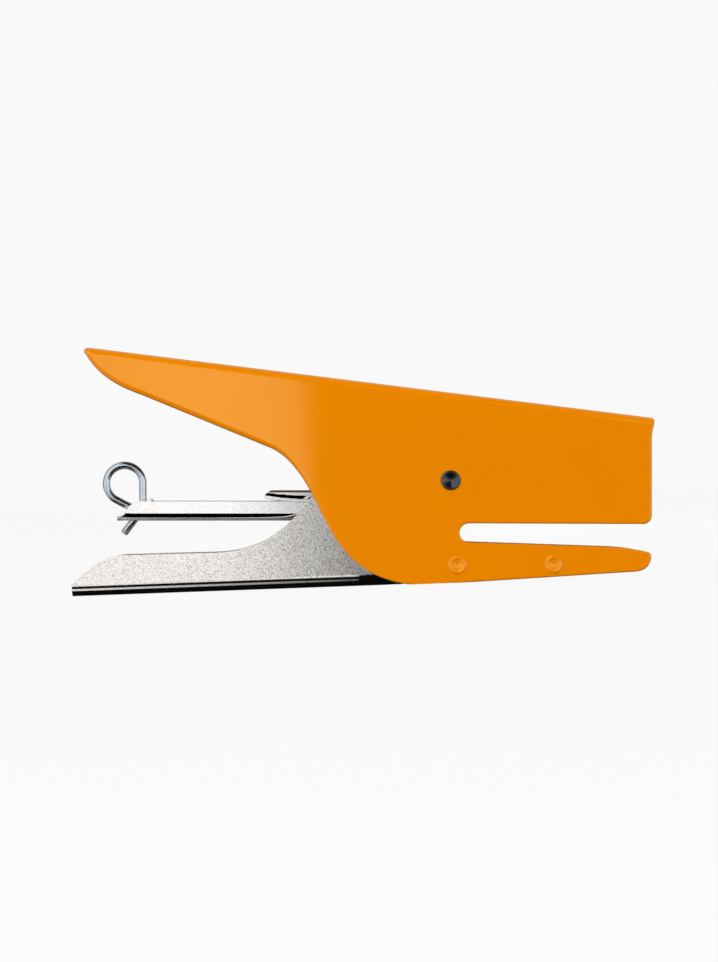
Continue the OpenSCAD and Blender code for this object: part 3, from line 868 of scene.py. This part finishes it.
def helix(start, end, radius, turns, steps=24):
    """Points of a coil about the line from start to end."""
    start, end = Vector(start), Vector(end)
    axis = (end - start).normalized()
    u = axis.orthogonal().normalized()
    v = axis.cross(u)
    count = steps * turns
    points = []
    for i in range(count + 1):
        a = 2 * math.pi * turns * i / count
        points.append(start.lerp(end, i / count) + radius * (math.cos(a) * u + math.sin(a) * v))
    return points


def spring_object(name, path, wire_r, ref, sides, node):
    """A spring of round wire in place of its CAD node."""
    obj = to_object(name, wire(path, wire_r, ref, sides))
    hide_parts(node)
    return dress(obj, "spring_steel")


def pusher_spring():
    """The long spring round the rod, which shortens as the pusher slides back; here a fixed coil
    carried with the rod.
    """
    rear, front = Vector((-78.75, 0, ROD_Z)), Vector((16.75, 0, ROD_Z))
    coil = helix(rear, front, 1.5, 30)
    obj = spring_object("pusher_coil", coil, 0.25, (1, 0, 0), 10, "pusher_spring")
    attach(obj, "rod")
    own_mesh(obj)


def hammer_spring():
    """The short spring under the hammer, which shortens as the hammer goes down; here a fixed coil
    carried with the lever.
    """
    low, high = Vector((40.5, 0, -4.3)), Vector((40.5, 0, 1.6))
    coil = helix(low, high, 1.9, 3, 32)
    obj = spring_object("hammer_coil", coil, 0.35, (0, 0, 1), 12, "hammer_spring")
    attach(obj, "lever")
    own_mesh(obj)


def return_spring():
    """The torsion spring on the pivot: its rear leg lies in the body, its front leg in the lever."""
    coil_r, half, turns, count = 3.55, 2.9, 6, 160
    front, rear = Vector((41, 1.4)), Vector((-26, 25.4))
    start = math.atan2(front.y, front.x) - math.acos(coil_r / front.length)
    end = math.atan2(rear.y, rear.x) + math.acos(coil_r / rear.length)
    sweep = start - end + 2 * math.pi * turns
    path = [(front.x, -half, front.y)]
    for i in range(count + 1):
        a = start - sweep * i / count
        path.append((coil_r * math.cos(a), -half + 2 * half * i / count, coil_r * math.sin(a)))
    path.append((rear.x, half, rear.y))
    obj = spring_object("return_coil", path, 0.45, (0, 1, 0), 12, "return_spring")
    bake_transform(obj)


# The inner pieces that keep their CAD mesh, and how wide their edges are broken
KEPT = {
    "anvil_channel": 0.15, "anvil_plate": 0.1, "pivot_bush": 0.1, "hammer_block": 0.3,
    "hammer_rivets": 0.15, "driver_blade": 0.08, "driver_rivets": 0.1, "saddle_rivets": 0.1,
    "nose_plate": 0.12, "nose_rivets": 0.1, "staple_strip": 0.08,
    "rod_cap": 0.1, "spring_collar": 0.12, "pusher": 0.2,
}


def keep_cad_nodes():
    """Gives the kept CAD pieces broken edges and the material of their record slot."""
    slots = {s["node"]: s["material_slot"] for s in frame["record"]["subparts"]}
    for name, width in KEPT.items():
        obj = frame["nodes"][name]
        weld = obj.modifiers.new("weld", "WELD")
        weld.merge_threshold = 1e-6
        round_edges(obj, width)
        for material_slot in obj.material_slots:
            material_slot.material = MATERIALS[slots[name]]


# ---------- stage ----------

PALE = (0.947, 0.947, 0.947, 1)


def floor():
    """A pale floor that the gloss doesn't show: mostly its own glow, so that shadows stay faint."""
    mesh = bpy.data.meshes.new("floor")
    size = 6.0
    mesh.from_pydata([(-size, -size, 0), (size, -size, 0), (size, size, 0), (-size, size, 0)],
                     [], [(0, 1, 2, 3)])
    obj = link("floor", mesh)
    obj.visible_glossy = obj.visible_diffuse = False
    material, nodes, links, shader = new_material("floor")
    shader.inputs["Base Color"].default_value = (0.9, 0.9, 0.9, 1)
    shader.inputs["Roughness"].default_value = 0.9
    shader.inputs["Specular IOR Level"].default_value = 0.0
    glow = nodes.new("ShaderNodeEmission")
    glow.inputs["Color"].default_value = PALE
    mix = nodes.new("ShaderNodeMixShader")
    mix.inputs["Fac"].default_value = 0.975
    links.new(shader.outputs["BSDF"], mix.inputs[1])
    links.new(glow.outputs["Emission"], mix.inputs[2])
    links.new(mix.outputs["Shader"], nodes["Material Output"].inputs["Surface"])
    mesh.materials.append(material)


def low_strip(name, lever, front, back, left, right):
    """A bright strip under the floor, in front of the lever's foot. Only the lever's gloss shows it.

    front and back are the y of its long edges, left and right how bright it is at its two ends.
    """
    mesh = bpy.data.meshes.new(name)
    x0, x1, y0, y1, z = (v * MM for v in (-88, -2, front, back, -5))
    mesh.from_pydata([(x0, y0, z), (x1, y0, z), (x1, y1, z), (x0, y1, z)], [], [(0, 1, 2, 3)])
    strip = link(name, mesh)
    strip.visible_camera = strip.visible_diffuse = strip.visible_shadow = False
    lit = bpy.data.collections.new("lit_by_" + name)
    lit.objects.link(lever)
    strip.light_linking.receiver_collection = lit
    material, nodes, links, shader = new_material(name)
    nodes.remove(shader)
    where = nodes.new("ShaderNodeTexCoord")
    parts = nodes.new("ShaderNodeSeparateXYZ")
    links.new(where.outputs["Object"], parts.inputs[0])
    fade = nodes.new("ShaderNodeMapRange")
    fade.inputs["From Min"].default_value = x0
    fade.inputs["From Max"].default_value = x1
    fade.inputs["To Min"].default_value = left
    fade.inputs["To Max"].default_value = right
    links.new(parts.outputs["X"], fade.inputs["Value"])
    glow = nodes.new("ShaderNodeEmission")
    links.new(fade.outputs[0], glow.inputs["Strength"])
    links.new(glow.outputs[0], nodes["Material Output"].inputs["Surface"])
    mesh.materials.append(material)


def sky():
    """Pale to the camera. The gloss sees a dark room with soft panels all round the stapler.

    side is the angle from the camera's side of the stapler, and rise the one from the horizon.
    """
    world = bpy.data.worlds.new("studio")
    bpy.context.scene.world = world
    world.use_nodes = True
    nodes, links = world.node_tree.nodes, world.node_tree.links
    nodes.clear()

    def math_node(kind, *values):
        """The result of an operation on sockets and plain numbers."""
        node = nodes.new("ShaderNodeMath")
        node.operation = kind
        for socket, value in zip(node.inputs, values):
            if isinstance(value, (int, float)):
                socket.default_value = value
            else:
                links.new(value, socket)
        return node.outputs[0]

    def window(value, low, high, soft):
        """1 where value is between low and high, easing to 0 over soft."""
        slopes = []
        for start, end, to_start, to_end in ((low - soft, low, 0, 1), (high, high + soft, 1, 0)):
            slope = nodes.new("ShaderNodeMapRange")
            slope.interpolation_type = "SMOOTHSTEP"
            slope.inputs["From Min"].default_value = start
            slope.inputs["From Max"].default_value = end
            slope.inputs["To Min"].default_value = to_start
            slope.inputs["To Max"].default_value = to_end
            links.new(value, slope.inputs["Value"])
            slopes.append(slope.outputs[0])
        return math_node("MULTIPLY", *slopes)

    where = nodes.new("ShaderNodeTexCoord")
    parts = nodes.new("ShaderNodeSeparateXYZ")
    links.new(where.outputs["Generated"], parts.inputs[0])
    x, y, z = parts.outputs
    side = math_node("DEGREES", math_node("ARCTAN2", x, math_node("MULTIPLY", y, -1)))
    rise = math_node("DEGREES", math_node("ARCSINE", z))
    panels = [
        # side: low, high, soft; rise: low, high, soft; brightness
        ((-80, -0.88, 0.28), (-9, 35, 3), 1.18),
        ((-80, -16, 4), (38, 84, 3), 1.18),
        ((-2.6, -1.8, 1.1), (-9, 35, 3), 0.27),
        ((6.5, 80, 1.5), (-9, 16, 4), 1.2),
        ((-180, -100, 8), (-13, 84, 6), 0.6),
        ((100, 180, 8), (-13, 84, 6), 0.6),
        ((-155, -26, 5), (-38, -12, 3), 0.6),
        ((44, 155, 5), (-38, -12, 3), 0.6),
    ]
    light = 0.004
    for across, up, level in panels:
        panel = math_node("MULTIPLY", window(side, *across), window(rise, *up))
        light = math_node("MULTIPLY_ADD", panel, level, light)
    camera_sky = nodes.new("ShaderNodeBackground")
    camera_sky.inputs["Color"].default_value = PALE
    room = nodes.new("ShaderNodeBackground")
    links.new(light, room.inputs["Strength"])
    path = nodes.new("ShaderNodeLightPath")
    mix = nodes.new("ShaderNodeMixShader")
    links.new(path.outputs["Is Camera Ray"], mix.inputs["Fac"])
    links.new(room.outputs[0], mix.inputs[1])
    links.new(camera_sky.outputs[0], mix.inputs[2])
    out = nodes.new("ShaderNodeOutputWorld")
    links.new(mix.outputs[0], out.inputs["Surface"])


def soft_light(name, location, size, power):
    """A large soft lamp that lights the object but doesn't show in its gloss. Metres and watts."""
    data = bpy.data.lights.new(name, "AREA")
    data.size = size
    data.energy = power
    obj = link(name, data)
    obj.location = location
    aim = Vector((0, 0, 0.03)) - Vector(location)
    obj.rotation_euler = aim.to_track_quat("-Z", "Y").to_euler()
    obj.visible_glossy = False


def camera():
    """A long lens, level and square to the near cheek, rolled with the side view."""
    view_width = 197.45
    middle = (-25.19, -BODY_HALF, -0.2475)  # of the view, from the pivot
    data = bpy.data.cameras.new("camera")
    data.lens = 200
    data.sensor_width = 36
    data.sensor_fit = "HORIZONTAL"
    data.clip_start = 0.01
    data.clip_end = 100
    distance = view_width * MM * data.lens / data.sensor_width
    view = ROLL @ Matrix.Rotation(math.pi / 2, 4, "X")
    obj = link("camera", data)
    obj.matrix_world = Matrix.Translation(to_row(middle) + Vector((0, -distance, 0))) @ view
    bpy.context.scene.camera = obj


camera()
body_shell()
jaw_rivets()
pivot_pin()
lever = squeeze_lever()
magazine_channel()
magazine_saddle()
loading_rod()
pusher_spring()
hammer_spring()
return_spring()
keep_cad_nodes()
floor()
low_strip("foot_strip", lever, -13.8, -10, 0.9, 0.1)
low_strip("floor_strip", lever, -60, -25, 0.9, 0.8)
sky()
soft_light("key", (-0.3, -1.2, 0.6), 0.9, 12.2)
soft_light("fill", (0.7, -1.1, 0.3), 0.8, 3.6)
soft_light("back", (0.1, 1.0, 0.6), 0.9, 7)
bpy.context.scene.view_settings.view_transform = "Standard"
